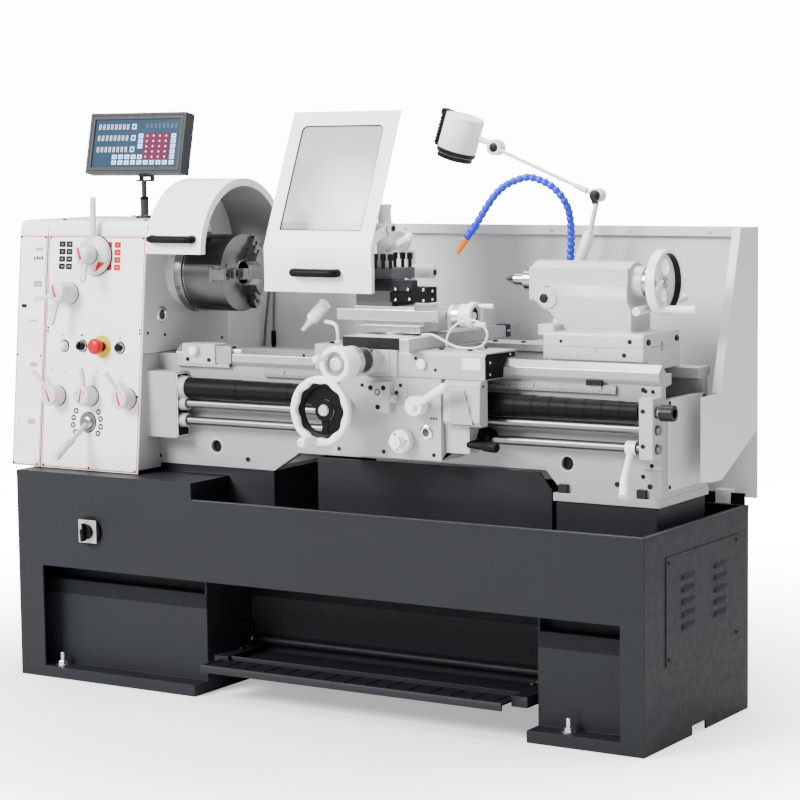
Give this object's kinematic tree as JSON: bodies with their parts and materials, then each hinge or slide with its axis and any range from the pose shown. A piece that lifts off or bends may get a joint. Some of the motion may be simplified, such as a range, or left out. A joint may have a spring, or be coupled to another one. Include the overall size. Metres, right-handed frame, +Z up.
{
  "type": "manual gap-bed engine lathe",
  "caption": "Manual engine lathe on a sheet-metal cabinet base, with chuck and guard, carriage with tool post and guard, tailstock, position readout, lamp and coolant hose.",
  "frame": {"origin": "middle of the machine's bounding box, on the floor under the levelling feet", "axes": "+X from the headstock to the tailstock along the spindle, +Y from the operator to the back, +Z up"},
  "size_m": [1.928, 0.747, 1.4874],
  "materials": {
    "paint_white": "semi-gloss light grey machine enamel",
    "paint_slate": "semi-gloss slate machine enamel",
    "paint_dark": "dark enamel on treaded sheet",
    "paint_anthracite": "fine textured enamel",
    "motor_grey": "matt enamel on ribbed casting",
    "ground_steel": "ground or turned",
    "zinc": "zinc plated",
    "cast_grey": "ground cast iron",
    "black_steel": "blackened",
    "black_plastic": "moulded",
    "red_plastic": "gloss",
    "blue_plastic": "satin moulded"
  },
  "bodies": {
    "root": {"base_cabinet": "paint_slate", "levelling_bolts": "zinc", "bed": "paint_white", "gap_bridge": "paint_white", "rack": "ground_steel", "headstock_casting": "paint_white", "headstock_cover": "paint_white", "front_panel": "paint_white", "feed_gearbox": "paint_white", "screw_end_bracket": "paint_white", "splash_guard": "paint_white", "dro_mast": "paint_anthracite", "motor": "motor_grey", "screw_cover_left": "black_steel", "screw_cover_right": "black_steel"},
    "gear_cover": {"gear_cover": "paint_white"},
    "spindle": {"spindle": "ground_steel", "chuck_body": "ground_steel"},
    "jaw_1": {"chuck_jaw_1": "ground_steel"},
    "jaw_2": {"chuck_jaw_2": "ground_steel"},
    "jaw_3": {"chuck_jaw_3": "ground_steel"},
    "chuck_guard": {"chuck_guard": "paint_white"},
    "dro_console": {"dro_console": "paint_anthracite"},
    "speed_dial": {"speed_dial": "paint_white"},
    "speed_lever": {"speed_lever": "paint_white"},
    "range_dial": {"range_dial": "paint_white"},
    "selector_lever_1": {"selector_lever_1": "paint_white"},
    "selector_lever_2": {"selector_lever_2": "paint_white"},
    "selector_lever_3": {"selector_lever_3": "paint_white"},
    "gear_handle": {"gear_handle": "paint_white"},
    "pump_switch": {"pump_switch": "black_plastic"},
    "jog_button": {"jog_button": "black_plastic"},
    "emergency_stop": {"emergency_stop": "red_plastic"},
    "main_switch": {"main_switch": "black_plastic"},
    "brake_pedal": {"brake_pedal": "paint_dark"},
    "leadscrew": {"leadscrew": "ground_steel"},
    "feed_rod": {"feed_rod": "ground_steel"},
    "control_rod": {"control_rod": "ground_steel"},
    "carriage": {"saddle": "paint_white", "apron": "paint_white", "coolant_hose": "blue_plastic"},
    "apron_handwheel": {"apron_handwheel": "paint_white"},
    "half_nut_lever": {"half_nut_lever": "paint_white"},
    "feed_knob": {"feed_knob": "paint_white"},
    "carriage_lever": {"carriage_lever": "black_plastic"},
    "cross_slide": {"cross_slide": "cast_grey"},
    "cross_handwheel": {"cross_handwheel": "paint_white"},
    "compound_base": {"compound_base": "cast_grey"},
    "compound_slide": {"compound_slide": "paint_white"},
    "compound_handwheel": {"compound_handwheel": "paint_white"},
    "toolpost": {"toolpost": "black_steel"},
    "toolpost_lever": {"toolpost_lever": "paint_white"},
    "tool_guard": {"tool_guard": "paint_white"},
    "tailstock": {"tailstock": "paint_white"},
    "quill": {"quill": "ground_steel"},
    "tail_handwheel": {"tail_handwheel": "paint_white"},
    "tail_clamp_lever": {"tail_clamp_lever": "paint_white"},
    "lamp_lower_arm": {"lamp_lower_arm": "paint_white"},
    "lamp_upper_arm": {"lamp_upper_arm": "paint_white"},
    "lamp_head": {"lamp_head": "paint_white"}
  },
  "joints": [
    {"name": "gear_cover_hinge", "type": "hinge", "parent": "root", "child": "gear_cover", "pos_m": [-0.862, 0.248, 0.9], "axis": [0, 0, -1], "range_deg": [0, 100]},
    {"name": "spindle_spin", "type": "hinge", "parent": "root", "child": "spindle", "pos_m": [-0.698, 0.057, 1.066], "axis": [1, 0, 0], "continuous": true},
    {"name": "jaw_1_slide", "type": "slide", "parent": "spindle", "child": "jaw_1", "axis": [0, -1, 0], "range_m": [-0.018, 0.012]},
    {"name": "jaw_2_slide", "type": "slide", "parent": "spindle", "child": "jaw_2", "axis": [0, 0.5, 0.866], "range_m": [-0.018, 0.012]},
    {"name": "jaw_3_slide", "type": "slide", "parent": "spindle", "child": "jaw_3", "axis": [0, 0.5, -0.866], "range_m": [-0.018, 0.012]},
    {"name": "chuck_guard_hinge", "type": "hinge", "parent": "root", "child": "chuck_guard", "pos_m": [-0.438, 0.242, 1.14], "axis": [-1, 0, 0], "range_deg": [0, 75]},
    {"name": "dro_tilt", "type": "hinge", "parent": "root", "child": "dro_console", "pos_m": [-0.702, 0.107, 1.322], "axis": [1, 0, 0], "range_deg": [-10, 12]},
    {"name": "speed_dial_turn", "type": "hinge", "parent": "root", "child": "speed_dial", "pos_m": [-0.7, -0.11526, 1.114], "axis": [0, -0.9953, 0.0969], "range_deg": [-60, 60]},
    {"name": "speed_lever_turn", "type": "hinge", "parent": "root", "child": "speed_lever", "pos_m": [-0.7, -0.11526, 1.114], "axis": [0, -0.9953, 0.0969], "range_deg": [-30, 30]},
    {"name": "range_dial_turn", "type": "hinge", "parent": "root", "child": "range_dial", "pos_m": [-0.784, -0.1251, 1.013], "axis": [0, -0.9953, 0.0969], "range_deg": [-30, 30]},
    {"name": "selector_1_turn", "type": "hinge", "parent": "root", "child": "selector_lever_1", "pos_m": [-0.812, -0.1514, 0.743], "axis": [0, -0.9953, 0.0969], "range_deg": [-40, 40]},
    {"name": "selector_2_turn", "type": "hinge", "parent": "root", "child": "selector_lever_2", "pos_m": [-0.702, -0.15101, 0.747], "axis": [0, -0.9953, 0.0969], "range_deg": [-45, 45]},
    {"name": "selector_3_turn", "type": "hinge", "parent": "root", "child": "selector_lever_3", "pos_m": [-0.576, -0.1512, 0.745], "axis": [0, -0.9953, 0.0969], "range_deg": [-40, 40]},
    {"name": "gear_handle_turn", "type": "hinge", "parent": "root", "child": "gear_handle", "pos_m": [-0.708, -0.15773, 0.678], "axis": [0, -0.9953, 0.0969], "range_deg": [-60, 60]},
    {"name": "pump_switch_turn", "type": "hinge", "parent": "root", "child": "pump_switch", "pos_m": [-0.737, -0.13835, 0.877], "axis": [0, -0.9953, 0.0969], "range_deg": [0, 90]},
    {"name": "jog_button_press", "type": "slide", "parent": "root", "child": "jog_button", "axis": [0, 0.9953, -0.0969], "range_m": [0, 0.004], "stiffness_N_per_m": 800, "springref_m": -0.002},
    {"name": "emergency_stop_press", "type": "slide", "parent": "root", "child": "emergency_stop", "axis": [0, 0.9953, -0.0969], "range_m": [0, 0.005], "stiffness_N_per_m": 1500, "springref_m": -0.002},
    {"name": "main_switch_turn", "type": "hinge", "parent": "root", "child": "main_switch", "pos_m": [-0.65, -0.235, 0.404], "axis": [0, -1, 0], "range_deg": [0, 90]},
    {"name": "brake_pedal_press", "type": "hinge", "parent": "root", "child": "brake_pedal", "pos_m": [0.162, 0.01, 0.11], "axis": [1, 0, 0], "range_deg": [0, 10], "stiffness_Nm_per_rad": 60, "springref_deg": -28.65},
    {"name": "leadscrew_spin", "type": "hinge", "parent": "root", "child": "leadscrew", "pos_m": [0.202, -0.097, 0.777], "axis": [1, 0, 0], "continuous": true},
    {"name": "feed_rod_spin", "type": "hinge", "parent": "root", "child": "feed_rod", "pos_m": [0.202, -0.097, 0.736], "axis": [1, 0, 0], "continuous": true},
    {"name": "control_rod_turn", "type": "hinge", "parent": "root", "child": "control_rod", "pos_m": [0.202, -0.097, 0.692], "axis": [1, 0, 0], "range_deg": [-15, 15]},
    {"name": "carriage_slide", "type": "slide", "parent": "root", "child": "carriage", "axis": [1, 0, 0], "range_m": [-0.14, 0.04], "deforming": ["screw_cover_left", "screw_cover_right"]},
    {"name": "apron_wheel_turn", "type": "hinge", "parent": "carriage", "child": "apron_handwheel", "pos_m": [0.112, -0.17, 0.76], "axis": [0, 1, 0], "range_deg": [-2800, 900]},
    {"name": "half_nut_turn", "type": "hinge", "parent": "carriage", "child": "half_nut_lever", "pos_m": [0.33, -0.17, 0.775], "axis": [0, 1, 0], "range_deg": [0, 35]},
    {"name": "feed_knob_turn", "type": "hinge", "parent": "carriage", "child": "feed_knob", "pos_m": [0.282, -0.17, 0.686], "axis": [0, 1, 0], "range_deg": [0, 90]},
    {"name": "carriage_lever_turn", "type": "hinge", "parent": "carriage", "child": "carriage_lever", "pos_m": [0.47, -0.097, 0.692], "axis": [1, 0, 0], "range_deg": [-15.5, 15.5]},
    {"name": "cross_slide_travel", "type": "slide", "parent": "carriage", "child": "cross_slide", "axis": [0, 1, 0], "range_m": [-0.035, 0.05]},
    {"name": "cross_wheel_turn", "type": "hinge", "parent": "carriage", "child": "cross_handwheel", "pos_m": [0.187, -0.23, 0.88], "axis": [0, 1, 0], "range_deg": [-2600, 3700]},
    {"name": "compound_swivel", "type": "hinge", "parent": "cross_slide", "child": "compound_base", "pos_m": [0.187, -0.015, 0.94], "axis": [0, 0, 1], "range_deg": [0, 30]},
    {"name": "compound_travel", "type": "slide", "parent": "compound_base", "child": "compound_slide", "axis": [1, 0, 0], "range_m": [-0.04, 0.02]},
    {"name": "compound_wheel_turn", "type": "hinge", "parent": "compound_slide", "child": "compound_handwheel", "pos_m": [0.326, -0.017, 0.979], "axis": [1, 0, 0], "range_deg": [-2900, 1500]},
    {"name": "toolpost_index", "type": "hinge", "parent": "compound_slide", "child": "toolpost", "pos_m": [0.135, -0.017, 1.04], "axis": [0, 0, 1], "range_deg": [0, 90]},
    {"name": "toolpost_clamp", "type": "hinge", "parent": "compound_slide", "child": "toolpost_lever", "pos_m": [0.135, -0.017, 1.12], "axis": [0, 0, 1], "range_deg": [0, 90]},
    {"name": "tool_guard_hinge", "type": "hinge", "parent": "compound_slide", "child": "tool_guard", "pos_m": [0.022, -0.045, 1.19], "axis": [-1, 0, 0], "range_deg": [0, 55]},
    {"name": "tailstock_slide", "type": "slide", "parent": "root", "child": "tailstock", "axis": [1, 0, 0], "range_m": [-0.07, 0.05]},
    {"name": "quill_travel", "type": "slide", "parent": "tailstock", "child": "quill", "axis": [-1, 0, 0], "range_m": [0, 0.12]},
    {"name": "tail_wheel_turn", "type": "hinge", "parent": "tailstock", "child": "tail_handwheel", "pos_m": [0.852, 0.057, 1.066], "axis": [1, 0, 0], "range_deg": [-8700, 0]},
    {"name": "tail_clamp_turn", "type": "hinge", "parent": "tailstock", "child": "tail_clamp_lever", "pos_m": [0.802, 0.122, 1.008], "axis": [1, 0, 0], "range_deg": [0, 15]},
    {"name": "lamp_swivel", "type": "hinge", "parent": "carriage", "child": "lamp_lower_arm", "pos_m": [0.454, 0.26, 0.914], "axis": [0, 0, 1], "range_deg": [-30, 0]},
    {"name": "lamp_elbow", "type": "hinge", "parent": "lamp_lower_arm", "child": "lamp_upper_arm", "pos_m": [0.583, 0.26, 1.264], "axis": [0, 1, 0], "range_deg": [0, 30]},
    {"name": "lamp_tilt", "type": "hinge", "parent": "lamp_upper_arm", "child": "lamp_head", "pos_m": [0.295, 0.26, 1.384], "axis": [0, 1, 0], "range_deg": [-20, 20]}
  ],
  "couplings": [
    {"joint": "jaw_2_slide", "follows": "jaw_1_slide", "ratio": 1},
    {"joint": "jaw_3_slide", "follows": "jaw_1_slide", "ratio": 1},
    {"joint": "apron_wheel_turn", "follows": "carriage_slide", "rad_per_m": 333},
    {"joint": "cross_wheel_turn", "follows": "cross_slide_travel", "rad_per_m": 1256.6},
    {"joint": "compound_wheel_turn", "follows": "compound_travel", "rad_per_m": 1256.6},
    {"joint": "tail_wheel_turn", "follows": "quill_travel", "rad_per_m": -1256.6},
    {"joint": "carriage_lever_turn", "follows": "control_rod_turn", "ratio": 1}
  ]
}
